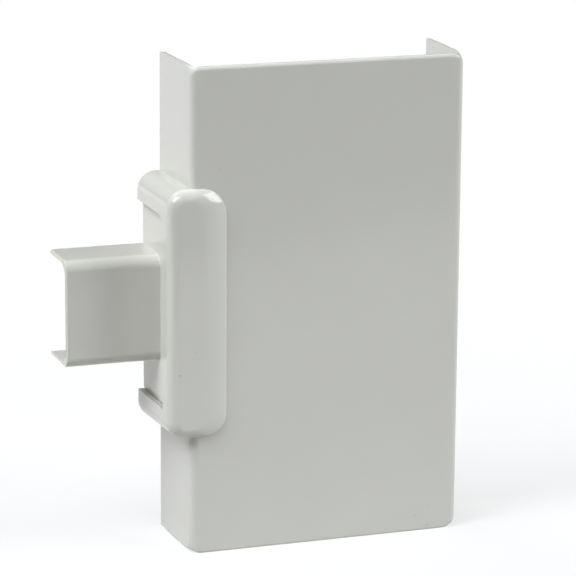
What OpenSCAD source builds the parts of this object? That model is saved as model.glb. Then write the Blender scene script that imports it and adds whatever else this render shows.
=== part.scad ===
// Trunking reducer adapter: a flat cover piece for a main cable trunking run,
// with a side hood whose window takes a slide-in insert for a smaller branch
// trunking. The cover is open at the back and at both ends, and so is the
// insert's stub.
//
// Frame: the back (y = 0) lies on the wall, the front faces -Y, the main run
// goes along Z from 0 upwards and the branch leaves towards -X. The origin is
// on the wall, on the centre line of the main run, at the lower end.

/* [Cover] */
// Width across the front face
cover_w = 109; // [80:1:140]
// Depth from the wall to the front face
cover_d = 37.5; // [32:0.5:60]
// Length along the main run
cover_l = 188; // [160:1:260]
// Wall thickness of the cover and the hood
wall = 1.8; // [1.4:0.1:2.2]
// Radius of the two long front edges
front_edge_r = 3.3; // [2.5:0.1:5]
// Radius of the front wall's top and bottom edges
end_edge_r = 1.4; // [0.6:0.1:1.5]
// Radius of the cover's four corners, seen from the front
end_corner_r = 4; // [2:0.1:5]
// Radius that these corners run out to at the wall
rim_end_r = 1.2; // [0.8:0.1:1.6]
// Radius of the flanges' corners at the wall
rim_corner_r = 0.9; // [0.4:0.1:3]
// Angle by which each side flange opens towards the wall
flange_draft = 1; // [0.25:0.25:2]

/* [Hood] */
// Length of the hood along the main run, at its front
hood_l = 95.8; // [84:0.2:130]
// How far the hood's middle lies above the cover's middle
hood_up = 0.4; // [0:0.1:1]
// Angle by which the hood's lower wall opens towards the wall
hood_foot_draft = 2.4; // [0:0.2:3]
// Reach of the hood beyond the side of the cover
hood_side = 9.6; // [8.5:0.1:14]
// Height of the hood above the front face
hood_rise = 3.4; // [3:0.1:4.2]
// Reach of the hood over the front face
hood_over = 14; // [13:0.5:24]
// Corner radius of the hood beside the branch
hood_branch_corner_r = 7; // [6:0.5:8]
// Width of the hood's upper corner above the front face
hood_face_corner_w = 10; // [8:0.5:11]
// Height of the hood's upper corner above the front face
hood_face_corner_h = 11; // [8:0.5:14]
// Width of the hood's lower corner above the front face
hood_foot_corner_w = 8.5; // [8:0.5:11]
// Height of the hood's lower corner above the front face
hood_foot_corner_h = 8.5; // [8:0.5:14]
// Radius of the edge around the hood's front
hood_edge_r = 4.3; // [2.6:0.1:4.5]
// Radius of the soft roll down to the front face
hood_roll_r = 19; // [16:0.5:22]

/* [Window] */
// Length of the window along the main run
window_l = 75; // [62:1:80]
// Width of the post between the window and the front face
post_w = 5.5; // [4:0.1:9]
// Radius of the window's upper front corner
window_corner_r = 4.5; // [2:0.5:8]

/* [Branch insert] */
// Height of the stub across the branch
stub_h = 41.4; // [30:0.2:56]
// How far the stub's middle lies below the cover's middle
stub_drop = 0.4; // [0:0.1:2]
// Depth of the stub from the wall
stub_d = 23; // [16:0.5:26]
// Reach of the stub beyond the hood
stub_reach = 34.7; // [20:0.1:60]
// Wall thickness of the stub
stub_wall = 1.5; // [1.2:0.1:2]
// Outer radius of the stub's two long front edges
stub_edge_r = 4.4; // [2.5:0.1:5]
// Inner radius of the stub's two long front edges
stub_inner_r = 6.6; // [3:0.2:8]
// Radius of the stub's outer end edge
stub_end_r = 0.9; // [0.4:0.1:1.1]
// Thickness of the insert's plate
plate_t = 1.8; // [1.4:0.1:2.4]
// How far the plate laps behind the post
plate_lap = 3; // [1.5:0.5:3.5]
// Chamfer at the plate's corners
plate_chamfer = 1; // [0.5:0.1:2]

/* [Guides and catches] */
// Clearance between the plate and its guides
plate_gap = 0.3; // [0.15:0.05:0.5]
// Thickness of the two guide rails
guide_t = 1.4; // [1:0.1:2]
// Height of the guide rail's lip behind the plate
guide_lip = 3; // [2:0.5:5]
// Length of each catch inside the flanges
catch_l = 22; // [12:1:34]
// Distance of the catches from the ends of the cover
catch_inset = 16; // [10:1:24]
// Distance of the catches from the wall
catch_setback = 5; // [3:0.5:9]
// How far the catches stand out of the flanges
catch_r = 0.9; // [0.5:0.1:1.2]

/* [Hidden] */
$fn = 96;

shell_color = [0.89, 0.89, 0.87];
insert_color = [0.88, 0.88, 0.85];
// Steps in each corner and around the edge of the hood's lofted shell
corner_steps = 12;
edge_steps = 8;
// Steps in the cover's four corners
round_steps = 12;
// How far cutting solids run past the faces that they cut, and ribs into walls
past = 5;
sunk = 0.6;
// Least flat land that an edge radius leaves on the front wall's ends
land = 0.3;

half_w = cover_w / 2;
mid_z = cover_l / 2;
hood_z = mid_z + hood_up;
stub_z = mid_z - stub_drop;
hood_left = -half_w - hood_side;
hood_right = -half_w + hood_over;
window_front = -cover_d + post_w;
rail_x = hood_left + wall;
plate_x = rail_x + plate_gap;
lip_x = plate_x + plate_t + plate_gap;
stub_end_x = hood_left - stub_reach;
end_r = min(end_edge_r, wall - land);
plate_h = window_l - 2 * plate_gap;
plate_front = window_front - plate_lap;

// Half width of the cover's outside at a given distance from the wall
function side_at(y) = half_w + (cover_d + y) * tan(flange_draft);

// Width that a roll of radius r takes while it falls by the given height
function roll_width(r, fall) = sqrt(2 * r * fall - fall * fall);

// Cross-section of a channel with rounded front edges and opening sides
module channel_section(half, depth, r, back) {
    arc_x = half - r * tan(45 - flange_draft / 2);
    side_x = arc_x + r * cos(flange_draft);
    side_y = r - depth - r * sin(flange_draft);
    back_x = half + (depth + back) * tan(flange_draft);
    polygon([
        [-back_x, back], [-side_x, side_y], [-arc_x, -depth],
        [arc_x, -depth], [side_x, side_y], [back_x, back]
    ]);
    for (side = [-1, 1])
        translate([side * arc_x, r - depth])
            circle(r = r);
}

// Rectangle from the origin whose corners at x = 0 are round: the one at y = 0,
// and also the other one if both is true
module softened(length, width, r, both) {
    translate([r, 0])
        square([length - r, width]);
    translate([0, r])
        square([length, both ? width - 2 * r : width - r]);
    for (y = both ? [r, width - r] : [r])
        translate([r, y])
            circle(r = r);
}

// Bar across the whole cover with the given side view
module across() {
    translate([-cover_w, 0, 0])
        rotate([90, 0, 90])
            linear_extrude(height = 2 * cover_w)
                children();
}

// What the rounded corners take away from one end of one flange, in the place
// of the right flange's lower end. It shrinks evenly towards the wall.
module corner_cut() {
    r = end_corner_r;
    back_share = rim_end_r / r;
    front_share = 1 + (1 - back_share) * past / cover_d;
    far_share = back_share - (1 - back_share) * past / cover_d;
    arc = [
        for (i = [0 : round_steps])
            let (angle = 90 * i / round_steps)
                [r * cos(angle) - r, r - r * sin(angle)]
    ];
    translate([half_w, -cover_d, 0])
        rotate([0, 0, -flange_draft])
            translate([0, -past, 0])
                rotate([-90, 0, 0])
                    mirror([0, 1, 0])
                        linear_extrude(height = cover_d + 2 * past, scale = far_share / front_share)
                            scale(front_share)
                                polygon([[past, -past], each arc, [-r, -past]]);
}

module channel_outside() {
    difference() {
        intersection() {
            linear_extrude(height = cover_l)
                channel_section(half_w, cover_d, front_edge_r, 0);
            across()
                translate([-cover_d, 0])
                    softened(cover_d, cover_l, end_r, true);
            across()
                mirror([1, 0])
                    softened(cover_d, cover_l, rim_corner_r, true);
        }
        for (side = [0, 1], end = [0, 1])
            mirror([side, 0, 0])
                translate([0, 0, end * cover_l])
                    mirror([0, 0, end])
                        corner_cut();
    }
}

module channel_inside() {
    translate([0, 0, -past])
        linear_extrude(height = cover_l + 2 * past)
            channel_section(half_w - wall, cover_d - wall, front_edge_r - wall, past);
}

// One quarter of an oval, from angle 0, around a centre in the XZ plane
function oval_quarter(centre, semi, start) = [
    for (i = [0 : corner_steps])
        let (angle = start + 90 * i / corner_steps)
            [centre.x + semi.x * cos(angle), centre.y + semi.y * sin(angle)]
];

// Outline of the hood at one depth below its front, shrunk by edge_in at the
// top, bottom and branch side and by roll_in on the side of the front face
function hood_ring(skin, depth, edge_in, roll_in) =
    let (
        left = hood_left + skin + edge_in,
        right = hood_right - roll_in,
        top = hood_z + hood_l / 2 - skin - edge_in,
        bottom = hood_z - hood_l / 2 - depth * tan(hood_foot_draft) + skin + edge_in,
        r = hood_branch_corner_r - skin - edge_in,
        w = hood_face_corner_w - skin - roll_in / 2,
        h = hood_face_corner_h - skin - edge_in,
        foot_w = hood_foot_corner_w - skin - roll_in / 2,
        foot_h = hood_foot_corner_h - skin - edge_in
    )
    concat(
        oval_quarter([right - w, top - h], [w, h], 0),
        oval_quarter([left + r, top - r], [r, r], 90),
        oval_quarter([left + r, bottom + r], [r, r], 180),
        oval_quarter([right - foot_w, bottom + foot_h], [foot_w, foot_h], 270)
    );

// The hood's form as a loft of rings from its front to the wall. The skin is
// zero for the outside and the wall thickness for the inside.
module hood_form(skin, back) {
    outer_front = -cover_d - hood_rise;
    front = outer_front + skin;
    edge_r = hood_edge_r - skin;
    roll_r = hood_roll_r - skin;
    roll_w = roll_width(roll_r, hood_rise);
    roll_gap = roll_width(hood_roll_r, hood_rise) - roll_w;
    falls = [for (i = [0 : edge_steps]) edge_r * (1 - cos(90 * i / edge_steps))];
    edge_ins = [for (i = [0 : edge_steps]) edge_r * (1 - sin(90 * i / edge_steps))];
    roll_ins = [
        for (fall = falls)
            roll_gap + roll_w - roll_width(roll_r, min(fall, hood_rise))
    ];
    rings = [
        for (i = [0 : edge_steps + 2])
            let (
                k = min(i, edge_steps),
                y = i <= edge_steps ? front + falls[k]
                  : i == edge_steps + 1 ? front + max(falls[edge_steps], hood_rise) : back,
                roll_in = i <= edge_steps ? roll_ins[k] : roll_gap
            )
            [for (p = hood_ring(skin, y - outer_front, edge_ins[k], roll_in)) [p.x, y, p.y]]
    ];
    n = len(rings[0]);
    last = len(rings) - 1;
    polyhedron(
        points = [for (ring = rings) each ring],
        faces = [
            [for (j = [0 : n - 1]) n - 1 - j],
            for (i = [0 : last - 1], j = [0 : n - 1], half = [0, 1])
                let (
                    a = i * n + j,
                    b = i * n + (j + 1) % n,
                    c = b + n,
                    d = a + n
                )
                half == 0 ? [a, b, c] : [a, c, d],
            [for (j = [0 : n - 1]) last * n + j]
        ],
        convexity = 4
    );
}

// The window in the hood's side: open to the wall, its upper front corner round
module window() {
    bottom = mid_z - window_l / 2;
    r = window_corner_r;
    translate([hood_left - past, 0, bottom])
        rotate([90, 0, 90])
            linear_extrude(height = past + wall + sunk) {
                translate([window_front, 0])
                    square([past - window_front, window_l - r]);
                translate([window_front + r, 0])
                    square([past - window_front - r, window_l]);
                translate([window_front + r, window_l - r])
                    circle(r = r);
            }
}

// Rail that guides one edge of the plate: a shelf under it and a lip behind it
module guide_rail() {
    front = -cover_d - hood_rise + wall - sunk;
    translate([rail_x - sunk, front, -guide_t])
        cube([lip_x + guide_t - rail_x + sunk, -front, guide_t]);
    translate([lip_x, front, -guide_t])
        cube([guide_t, -front, guide_t + guide_lip]);
}

// Rounded bead that snaps behind the lip of the main trunking
module catch() {
    translate([side_at(-catch_setback) - wall, -catch_setback, 0])
        cylinder(r = catch_r, h = catch_l);
}

module cover() {
    color(shell_color) {
        difference() {
            union() {
                channel_outside();
                hood_form(0, 0);
            }
            channel_inside();
            hood_form(wall, past);
            window();
        }
        translate([0, 0, mid_z - window_l / 2])
            guide_rail();
        translate([0, 0, mid_z + window_l / 2])
            mirror([0, 0, 1])
                guide_rail();
        for (z = [catch_inset, cover_l - catch_inset - catch_l], side = [0, 1])
            translate([0, 0, z])
                mirror([side, 0, 0])
                    catch();
    }
}

// Outside of the stub: its section along the branch, with a soft end edge
module stub_outside() {
    length = plate_x + plate_t / 2 - stub_end_x;
    corner = [stub_end_x, -stub_d, stub_z - stub_h / 2];
    intersection() {
        translate(corner)
            rotate([90, 0, 90])
                linear_extrude(height = length)
                    softened(stub_d, stub_h, stub_edge_r, true);
        translate(corner)
            linear_extrude(height = stub_h)
                softened(length, stub_d, stub_end_r, false);
        translate([corner.x, 0, corner.z])
            rotate([90, 0, 0])
                linear_extrude(height = stub_d)
                    softened(length, stub_h, stub_end_r, true);
    }
}

// Passage for the cables: along the stub, through the plate, open to the wall
module stub_inside() {
    length = plate_x + plate_t - stub_end_x + 2 * past;
    translate([stub_end_x - past, stub_wall - stub_d, stub_z + stub_wall - stub_h / 2])
        rotate([90, 0, 90])
            linear_extrude(height = length)
                softened(stub_d - stub_wall + past, stub_h - 2 * stub_wall,
                    stub_inner_r, true);
}

// Plate that closes the window, slid in from the wall side behind the post
module plate() {
    c = plate_chamfer;
    translate([plate_x, plate_front, mid_z - plate_h / 2])
        rotate([90, 0, 90])
            linear_extrude(height = plate_t)
                polygon([
                    [c, 0], [-plate_front - c, 0], [-plate_front, c],
                    [-plate_front, plate_h - c], [-plate_front - c, plate_h],
                    [c, plate_h], [0, plate_h - c], [0, c]
                ]);
}

module branch_insert() {
    color(insert_color)
        difference() {
            union() {
                plate();
                stub_outside();
            }
            stub_inside();
        }
}

cover();
branch_insert();
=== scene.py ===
"""Looks of the trunking reducer adapter: a glossy warm-white cover piece with
a side hood, and a slide-in insert with a stub for a smaller branch trunking.
Metres, +Z up, the front faces -Y, the wall is the plane y = 0."""

import math
import random

import bmesh
import bpy
from mathutils import Matrix, Vector


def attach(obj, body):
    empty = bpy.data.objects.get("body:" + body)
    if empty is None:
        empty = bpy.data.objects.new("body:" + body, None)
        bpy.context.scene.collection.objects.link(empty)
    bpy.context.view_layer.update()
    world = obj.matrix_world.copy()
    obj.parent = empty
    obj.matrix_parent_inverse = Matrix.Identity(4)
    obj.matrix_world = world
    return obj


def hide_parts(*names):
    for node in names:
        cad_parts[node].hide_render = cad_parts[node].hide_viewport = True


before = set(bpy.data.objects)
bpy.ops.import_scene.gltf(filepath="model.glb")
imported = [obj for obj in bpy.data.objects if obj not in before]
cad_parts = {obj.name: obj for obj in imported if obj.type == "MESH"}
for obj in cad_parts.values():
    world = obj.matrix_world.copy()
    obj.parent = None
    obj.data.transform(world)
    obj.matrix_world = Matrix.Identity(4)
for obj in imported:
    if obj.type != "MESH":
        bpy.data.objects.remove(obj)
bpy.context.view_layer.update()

# Camera: azimuth and height of the view in degrees, in metres from its target
VIEW_TURN = 19.42
VIEW_DROP = 13.92
VIEW_ROLL = 0.413
VIEW_TARGET = Vector((-0.01621, -0.0375, 0.1018))
VIEW_DISTANCE = 1.186
SENSOR = 36.0
LENS = SENSOR * 3140 / 576


def make_camera():
    turn = math.radians(VIEW_TURN)
    drop = math.radians(VIEW_DROP)
    roll = math.radians(VIEW_ROLL)
    ahead = Vector((math.sin(turn) * math.cos(drop), math.cos(turn) * math.cos(drop), -math.sin(drop)))
    level_right = Vector((math.cos(turn), -math.sin(turn), 0))
    level_up = level_right.cross(ahead)
    right = math.cos(roll) * level_right + math.sin(roll) * level_up
    up = math.cos(roll) * level_up - math.sin(roll) * level_right
    data = bpy.data.cameras.new("camera")
    data.lens = LENS
    data.sensor_width = SENSOR
    data.clip_start = 0.01
    data.clip_end = 50
    camera = bpy.data.objects.new("camera", data)
    bpy.context.scene.collection.objects.link(camera)
    turned = Matrix((right, up, -ahead)).transposed().to_4x4()
    camera.matrix_world = Matrix.Translation(VIEW_TARGET - VIEW_DISTANCE * ahead) @ turned
    bpy.context.scene.camera = camera


def new_material(name):
    material = bpy.data.materials.new(name)
    material.use_nodes = True
    material.node_tree.nodes.clear()
    return material, material.node_tree.nodes, material.node_tree.links


def ranged(nodes, links, value, old, new):
    node = nodes.new("ShaderNodeMapRange")
    for name, number in zip(("From Min", "From Max", "To Min", "To Max"), old + new):
        node.inputs[name].default_value = number
    links.new(value, node.inputs["Value"])
    return node.outputs["Result"]


def blended(nodes, links, share, first, second):
    """Colour between two: each is a fixed colour or another node's output."""
    node = nodes.new("ShaderNodeMix")
    node.data_type = "RGBA"
    links.new(share, node.inputs["Factor"])
    for name, colour in (("A", first), ("B", second)):
        if isinstance(colour, tuple):
            node.inputs[name].default_value = colour
        else:
            links.new(colour, node.inputs[name])
    return node.outputs["Result"]


# Floor: a white table top whose front edge is square to the view. Around the
# object it keeps the shadow, and further out it is plain white.
TABLE_FRONT = 0.436
TABLE_BACK = 8.0
TABLE_HALF_WIDTH = 6.0
SHADOW_NEAR = 0.16
SHADOW_FAR = 0.34
SHADOW_SHARE = 0.35
TABLE_COLOUR = (0.86, 0.86, 0.86, 1)
TABLE_BOUNCE = (0.42, 0.42, 0.41, 1)
# Painted pool of light: the table's bounce colour is lighter in a spot just in front of the object, standing in for
# lamp light pooling there. These are its colour, its centre, and the distances where it is full and where it ends
PAINTED_POOL_BOUNCE = (0.52, 0.52, 0.505, 1)
PAINTED_POOL_CENTRE = (0.01, -0.08, 0)
PAINTED_POOL_NEAR = 0.05
PAINTED_POOL_FAR = 0.13


def make_floor():
    """White to the camera and in reflections, and a dimmer bounce for soft light, with a painted pool of light: a
    lighter bounce just in front of the object.
    """
    sheet = bpy.data.meshes.new("floor")
    left, right = -TABLE_HALF_WIDTH, TABLE_HALF_WIDTH
    corners = [(left, -TABLE_FRONT, 0), (right, -TABLE_FRONT, 0), (right, TABLE_BACK, 0), (left, TABLE_BACK, 0)]
    sheet.from_pydata(corners, [], [(0, 1, 2, 3)])
    floor = bpy.data.objects.new("floor", sheet)
    floor.rotation_euler = (0, 0, -math.radians(VIEW_TURN))
    bpy.context.scene.collection.objects.link(floor)
    material, nodes, links = new_material("floor")
    out = nodes.new("ShaderNodeOutputMaterial")
    path = nodes.new("ShaderNodeLightPath")
    tint = nodes.new("ShaderNodeMix")
    tint.data_type = "RGBA"
    tint.inputs["A"].default_value = TABLE_COLOUR
    links.new(path.outputs["Is Diffuse Ray"], tint.inputs["Factor"])
    place = nodes.new("ShaderNodeNewGeometry").outputs["Position"]
    spot = nodes.new("ShaderNodeVectorMath")
    spot.operation = "DISTANCE"
    spot.inputs[1].default_value = PAINTED_POOL_CENTRE
    links.new(place, spot.inputs[0])
    # painted pool of light: the bounce colour turns lighter near the spot in front of the object
    front = ranged(nodes, links, spot.outputs["Value"], (PAINTED_POOL_NEAR, PAINTED_POOL_FAR), (1.0, 0.0))
    links.new(blended(nodes, links, front, TABLE_BOUNCE, PAINTED_POOL_BOUNCE), tint.inputs["B"])
    diffuse = nodes.new("ShaderNodeBsdfDiffuse")
    links.new(tint.outputs["Result"], diffuse.inputs["Color"])
    glow = nodes.new("ShaderNodeEmission")
    glow.inputs["Color"].default_value = (1, 1, 1, 1)
    glow.inputs["Strength"].default_value = 1.0
    seen = nodes.new("ShaderNodeMath")
    seen.operation = "MAXIMUM"
    links.new(path.outputs["Is Camera Ray"], seen.inputs[0])
    links.new(path.outputs["Is Glossy Ray"], seen.inputs[1])
    reach = nodes.new("ShaderNodeVectorMath")
    reach.operation = "LENGTH"
    links.new(place, reach.inputs[0])
    fade = nodes.new("ShaderNodeMapRange")
    fade.interpolation_type = "SMOOTHSTEP"
    fade.inputs["From Min"].default_value = SHADOW_NEAR
    fade.inputs["From Max"].default_value = SHADOW_FAR
    fade.inputs["To Min"].default_value = 1 - SHADOW_SHARE
    fade.inputs["To Max"].default_value = 1.0
    links.new(reach.outputs["Value"], fade.inputs["Value"])
    share = nodes.new("ShaderNodeMath")
    share.operation = "MULTIPLY"
    links.new(seen.outputs[0], share.inputs[0])
    links.new(fade.outputs["Result"], share.inputs[1])
    mix = nodes.new("ShaderNodeMixShader")
    links.new(share.outputs[0], mix.inputs["Fac"])
    links.new(diffuse.outputs[0], mix.inputs[1])
    links.new(glow.outputs[0], mix.inputs[2])
    links.new(mix.outputs[0], out.inputs["Surface"])
    sheet.materials.append(material)


# World: nearly dark to the light that it gives, white to the camera and, behind
# the object only, to reflections
WORLD_DIM = 0.02
BACKDROP = (0.0, 0.25)
BACKDROP_SHARE = 0.18


def make_world():
    """White behind the object, and a dark room in front of it."""
    world = bpy.data.worlds.new("studio")
    bpy.context.scene.world = world
    world.use_nodes = True
    nodes, links = world.node_tree.nodes, world.node_tree.links
    nodes.clear()
    out = nodes.new("ShaderNodeOutputWorld")
    dim = nodes.new("ShaderNodeBackground")
    dim.inputs["Strength"].default_value = WORLD_DIM
    white = nodes.new("ShaderNodeBackground")
    white.inputs["Strength"].default_value = 1.0
    path = nodes.new("ShaderNodeLightPath")
    mix = nodes.new("ShaderNodeMixShader")
    for background in (dim, white):
        background.inputs["Color"].default_value = (1, 1, 1, 1)
    axes = nodes.new("ShaderNodeSeparateXYZ")
    links.new(nodes.new("ShaderNodeTexCoord").outputs["Generated"], axes.inputs["Vector"])
    behind = ranged(nodes, links, axes.outputs["Y"], BACKDROP, (0.0, BACKDROP_SHARE))
    mirrored = nodes.new("ShaderNodeMath")
    mirrored.operation = "MULTIPLY"
    links.new(path.outputs["Is Glossy Ray"], mirrored.inputs[0])
    links.new(behind, mirrored.inputs[1])
    seen = nodes.new("ShaderNodeMath")
    seen.operation = "MAXIMUM"
    links.new(path.outputs["Is Camera Ray"], seen.inputs[0])
    links.new(mirrored.outputs[0], seen.inputs[1])
    links.new(seen.outputs[0], mix.inputs["Fac"])
    links.new(dim.outputs[0], mix.inputs[1])
    links.new(white.outputs[0], mix.inputs[2])
    links.new(mix.outputs[0], out.inputs["Surface"])


# Lights: soft boxes aimed at the middle of the object. Each is named with its
# direction from the front, to the right in degrees, its height in degrees,
# its width and height in metres and its power in watts
LIGHT_AIM = Vector((-0.02, -0.02, 0.09))
LIGHT_DISTANCE = 2.4
LIGHT_COLOUR = (0.975, 1.0, 1.035)
LIGHTS = [
    ("left_box", -75, 45, 1.3, 1.3, 40),
    ("right_box", 66, 26, 1.4, 1.4, 43),
    ("front_box", -48, 54, 1.5, 1.5, 21),
    ("back_box", -150, 50, 1.3, 1.3, 16),
]


def make_lights():
    for name, turn, height, width, tall, power in LIGHTS:
        turn, height = math.radians(turn), math.radians(height)
        level = math.cos(height)
        way = Vector((math.sin(turn) * level, -math.cos(turn) * level, math.sin(height)))
        data = bpy.data.lights.new(name, "AREA")
        data.shape = "RECTANGLE"
        data.size, data.size_y = width, tall
        data.energy = power
        data.color = LIGHT_COLOUR
        light = bpy.data.objects.new(name, data)
        bpy.context.scene.collection.objects.link(light)
        light.location = LIGHT_AIM + LIGHT_DISTANCE * way
        light.rotation_mode = "QUATERNION"
        light.rotation_quaternion = (-way).to_track_quat("-Z", "Y")


# Edges of the moulding: how far apart points still count as one, the angle at
# which a bend counts as an edge, and the radius of the soft edges
WELD = 0.00001
FLAT_ANGLE = math.radians(0.1)
EDGE_ANGLE = math.radians(32)
SOFT_EDGE = 0.00022


# The cover's corners: where the front face and the flanges' outer faces lie, the
# radius of the solid's corners in front and at the wall and of its end edge, and
# the oval corner and smaller end edge that the skin has instead
FRONT_Y = -0.0375
HALF_WIDTH = 0.0545
LENGTH = 0.188
DRAFT = math.tan(math.radians(1))
WALL = 0.0018
SOLID_FRONT_R = 0.004
SOLID_WALL_R = 0.0012
SOLID_END_R = 0.0014
CORNER_W = 0.0046
CORNER_H = 0.0062
CORNER_DEPTH = 0.010
LOWER_RIGHT_SHARE = 1.45
UPPER_RIGHT_SHARE = 1.25
END_EDGE_R = 0.0008
CORNER_FADE = 0.016
CORNER_AREA = 0.009
CORNER_STEP = 0.001
SMOOTH_ROUNDS = 5


def drop_of_oval(inward, half_width, height):
    """How far an oval corner leaves the end of the wall, at a distance from its side."""
    if inward >= half_width:
        return 0.0
    return height * (1 - math.sqrt(max(0.0, 1 - ((half_width - inward) / half_width) ** 2)))


def cut(form, place, normal, reach, depth):
    """Cuts the faces that lie within reach of both ends and of a side by one plane."""
    def inside(point):
        return min(point.z, LENGTH - point.z) < reach + WELD and abs(point.x) > depth - WELD
    near = [f for f in form.faces if all(inside(v.co) for v in f.verts)]
    parts = near + list({e for f in near for e in f.edges}) + list({v for f in near for v in f.verts})
    bmesh.ops.bisect_plane(form, geom=parts, dist=WELD, plane_co=place, plane_no=normal)


def grid_corners(form):
    """Adds the points that the corners' new form needs."""
    for z in (CORNER_FADE, LENGTH - CORNER_FADE):
        everywhere = form.faces[:] + form.edges[:] + form.verts[:]
        bmesh.ops.bisect_plane(form, geom=everywhere, dist=WELD, plane_co=(0, 0, z), plane_no=(0, 0, 1))
    edge_x = HALF_WIDTH - CORNER_AREA
    for side in (-1, 1):
        cut(form, (side * edge_x, 0, 0), (1, 0, 0), CORNER_FADE, 0)
    for i in range(1, round(CORNER_AREA / CORNER_STEP) + 1):
        step = i * CORNER_STEP
        for side in (-1, 1):
            cut(form, (side * (edge_x + step), 0, 0), (1, 0, 0), CORNER_FADE, edge_x)
        for z in (step, LENGTH - step):
            cut(form, (0, 0, z), (0, 0, 1), CORNER_FADE, edge_x)
        cut(form, (0, FRONT_Y + step, 0), (0, 1, 0), CORNER_FADE, edge_x)


def fit_corners(form):
    """Moves the skin's points near the four corners and both end edges."""
    grid_corners(form)
    form.verts.ensure_lookup_table()
    soft = []
    for vert in form.verts:
        top = vert.co.z > LENGTH / 2
        from_end = LENGTH - vert.co.z if top else vert.co.z
        depth = vert.co.y - FRONT_Y
        if depth < -WELD or from_end > CORNER_FADE:
            continue
        inward = max(0.0, HALF_WIDTH + DRAFT * depth - abs(vert.co.x))
        if not top and depth < SOLID_END_R + WELD and from_end < SOLID_END_R + WELD:
            depth *= END_EDGE_R / SOLID_END_R
            from_end *= END_EDGE_R / SOLID_END_R
        share = (1 - min(depth / CORNER_DEPTH, 1)) ** 2
        if vert.co.x > 0:
            share *= UPPER_RIGHT_SHARE if top else LOWER_RIGHT_SHARE
        solid_r = SOLID_FRONT_R + (SOLID_WALL_R - SOLID_FRONT_R) * depth / -FRONT_Y
        now = drop_of_oval(inward, solid_r, solid_r)
        wanted = drop_of_oval(inward, END_EDGE_R + (CORNER_W - END_EDGE_R) * share,
                              END_EDGE_R + (CORNER_H - END_EDGE_R) * share)
        fade = 1 - max(0.0, from_end - now) / CORNER_FADE
        from_end += (wanted - now) * max(fade, 0.0) ** 2
        vert.co.y = FRONT_Y + depth
        vert.co.z = LENGTH - from_end if top else from_end
        outside = inward < WALL - WELD or depth < WALL - WELD
        if outside and inward < CORNER_AREA - CORNER_STEP and depth < CORNER_AREA and WELD < from_end < CORNER_AREA:
            soft.append(vert)
    for i in range(SMOOTH_ROUNDS):
        bmesh.ops.smooth_vert(form, verts=soft, factor=0.5, use_axis_x=True, use_axis_y=True, use_axis_z=True)


def moulding(node_name, piece_name, corners=False):
    """The node's form as one smooth welded skin with slightly soft edges."""
    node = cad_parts[node_name]
    form = bmesh.new()
    form.from_mesh(node.data)
    bmesh.ops.remove_doubles(form, verts=form.verts, dist=WELD)
    bmesh.ops.dissolve_degenerate(form, edges=form.edges[:], dist=WELD)
    bmesh.ops.dissolve_limit(form, angle_limit=FLAT_ANGLE, use_dissolve_boundaries=False,
                             verts=form.verts[:], edges=form.edges[:], delimit=set())
    if corners:
        fit_corners(form)
    mesh = bpy.data.meshes.new(piece_name)
    form.to_mesh(mesh)
    form.free()
    mesh.shade_smooth()
    piece = bpy.data.objects.new(piece_name, mesh)
    bpy.context.scene.collection.objects.link(piece)
    bevel = piece.modifiers.new("soft edges", "BEVEL")
    bevel.width = SOFT_EDGE
    bevel.segments = 2
    bevel.limit_method = "ANGLE"
    bevel.angle_limit = EDGE_ANGLE
    bevel.miter_outer = "MITER_ARC"
    normals = piece.modifiers.new("even normals", "WEIGHTED_NORMAL")
    normals.weight = 100
    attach(piece, "root")
    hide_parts(node_name)
    return piece


# Plastic: how much lighter and darker it is in patches, its gloss, and the
# depth of the mould's slow waves and of its fine peel, in metres
PATCH = 0.012
PATCH_SCALE = 26
GLOSS = (0.085, 0.15)
GLOSS_SCALE = 70
WAVE_DEPTH = 0.00004
WAVE_SCALE = 38
PEEL_DEPTH = 0.0000022
PEEL_SCALE = 620

# Specks of dirt in the plastic: place in metres, radius and strength
SPECK_COLOUR = (0.22, 0.22, 0.22, 1)
SPECKS = [
    ((-0.0435, -0.0375, 0.1492), 0.00035, 0.25),
    ((0.0368, -0.0375, 0.0063), 0.00038, 0.50),
    ((0.0420, -0.0375, 0.0019), 0.00040, 0.55),
    ((0.0428, -0.0375, 0.0094), 0.00040, 0.22),
    ((-0.0600, -0.0409, 0.0720), 0.00040, 0.60),
    ((-0.0538, -0.0409, 0.0805), 0.00035, 0.25),
]


def noise(nodes, links, place, scale, detail):
    node = nodes.new("ShaderNodeTexNoise")
    node.inputs["Scale"].default_value = scale
    node.inputs["Detail"].default_value = detail
    links.new(place, node.inputs["Vector"])
    return node.outputs["Fac"]


def bumped(nodes, links, height, depth, before=None):
    node = nodes.new("ShaderNodeBump")
    node.inputs["Strength"].default_value = 1.0
    node.inputs["Distance"].default_value = depth
    links.new(height, node.inputs["Height"])
    if before is not None:
        links.new(before, node.inputs["Normal"])
    return node.outputs["Normal"]


# Burrs of the moulding on the lower left end edge: where they start and end
# along the depth, how many there are, and their length and height in metres
BURR_START = -0.006
BURR_END = -0.021
BURR_COUNT = 26
BURR_LENGTH = (0.0003, 0.0011)
BURR_HEIGHT = (0.0002, 0.00055)
BURR_SINK = 0.0003


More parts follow.
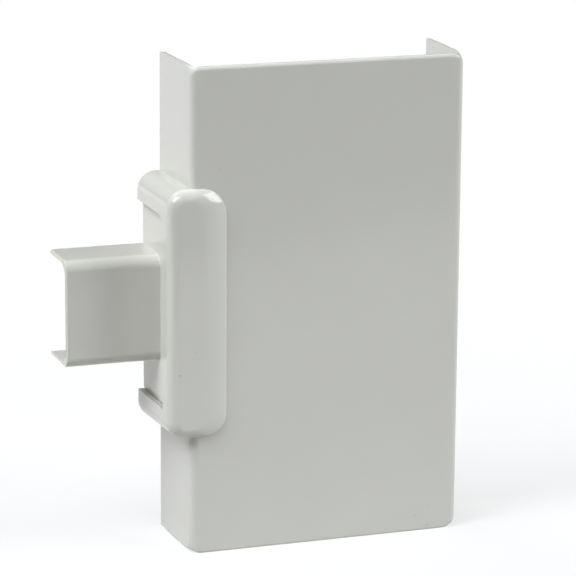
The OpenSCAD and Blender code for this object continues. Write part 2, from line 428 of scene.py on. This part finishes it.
def make_burrs():
    """A ragged row of small flakes that hang from the flange's end edge."""
    draw = random.Random(5)
    form = bmesh.new()
    for i in range(BURR_COUNT):
        y = BURR_START + (BURR_END - BURR_START) * (i + draw.uniform(-0.4, 0.4)) / (BURR_COUNT - 1)
        half = draw.uniform(*BURR_LENGTH) / 2
        tall = draw.uniform(*BURR_HEIGHT)
        side = -(HALF_WIDTH + DRAFT * (y - FRONT_Y))
        root_z = END_EDGE_R * 0.75
        tip_z = max(root_z - tall, 0.00002)
        tip = form.verts.new((side - draw.uniform(0, 0.00012), y + draw.uniform(-half, half), tip_z))
        ring = [form.verts.new((side + x, y + part * half, root_z + lift)) for x, part, lift in (
            (0.0, -1, 0), (0.0, 1, 0), (BURR_SINK, 1, 0), (BURR_SINK, -1, 0))]
        for a, b in zip(ring, ring[1:] + ring[:1]):
            form.faces.new((tip, b, a))
        form.faces.new(ring)
    bmesh.ops.recalc_face_normals(form, faces=form.faces[:])
    mesh = bpy.data.meshes.new("end_burrs")
    form.to_mesh(mesh)
    form.free()
    burrs = bpy.data.objects.new("end_burrs", mesh)
    bpy.context.scene.collection.objects.link(burrs)
    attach(burrs, "root")
    return burrs


def plastic(name, colour, specks=()):
    """Glossy moulded plastic: faint patches, uneven gloss, slow waves and fine peel."""
    material, nodes, links = new_material(name)
    out = nodes.new("ShaderNodeOutputMaterial")
    shader = nodes.new("ShaderNodeBsdfPrincipled")
    shader.inputs["IOR"].default_value = 1.5
    place = nodes.new("ShaderNodeTexCoord").outputs["Object"]
    patches = ranged(nodes, links, noise(nodes, links, place, PATCH_SCALE, 3), (0.3, 0.7), (0.0, 1.0))
    darker = tuple(c * (1 - PATCH) for c in colour) + (1,)
    lighter = tuple(c * (1 + PATCH) for c in colour) + (1,)
    tone = blended(nodes, links, patches, darker, lighter)
    for spot, radius, strength in specks:
        gap = nodes.new("ShaderNodeVectorMath")
        gap.operation = "DISTANCE"
        gap.inputs[1].default_value = spot
        links.new(place, gap.inputs[0])
        share = ranged(nodes, links, gap.outputs["Value"], (0.4 * radius, radius), (strength, 0.0))
        tone = blended(nodes, links, share, tone, SPECK_COLOUR)
    links.new(tone, shader.inputs["Base Color"])
    gloss = ranged(nodes, links, noise(nodes, links, place, GLOSS_SCALE, 4), (0.3, 0.7), GLOSS)
    links.new(gloss, shader.inputs["Roughness"])
    waves = bumped(nodes, links, noise(nodes, links, place, WAVE_SCALE, 1), WAVE_DEPTH)
    peel = bumped(nodes, links, noise(nodes, links, place, PEEL_SCALE, 2), PEEL_DEPTH, waves)
    links.new(peel, shader.inputs["Normal"])
    links.new(shader.outputs[0], out.inputs["Surface"])
    return material


make_camera()
make_floor()
make_world()
make_lights()
cover = moulding("cover", "cover_shell", corners=True)
insert = moulding("branch_insert", "insert_shell")
burrs = make_burrs()
cover_plastic = plastic("cover_plastic", (0.67, 0.665, 0.62), SPECKS)
cover.data.materials.append(cover_plastic)
burrs.data.materials.append(cover_plastic)
insert.data.materials.append(plastic("insert_plastic", (0.67, 0.665, 0.61)))
bpy.context.scene.view_settings.view_transform = "Standard"
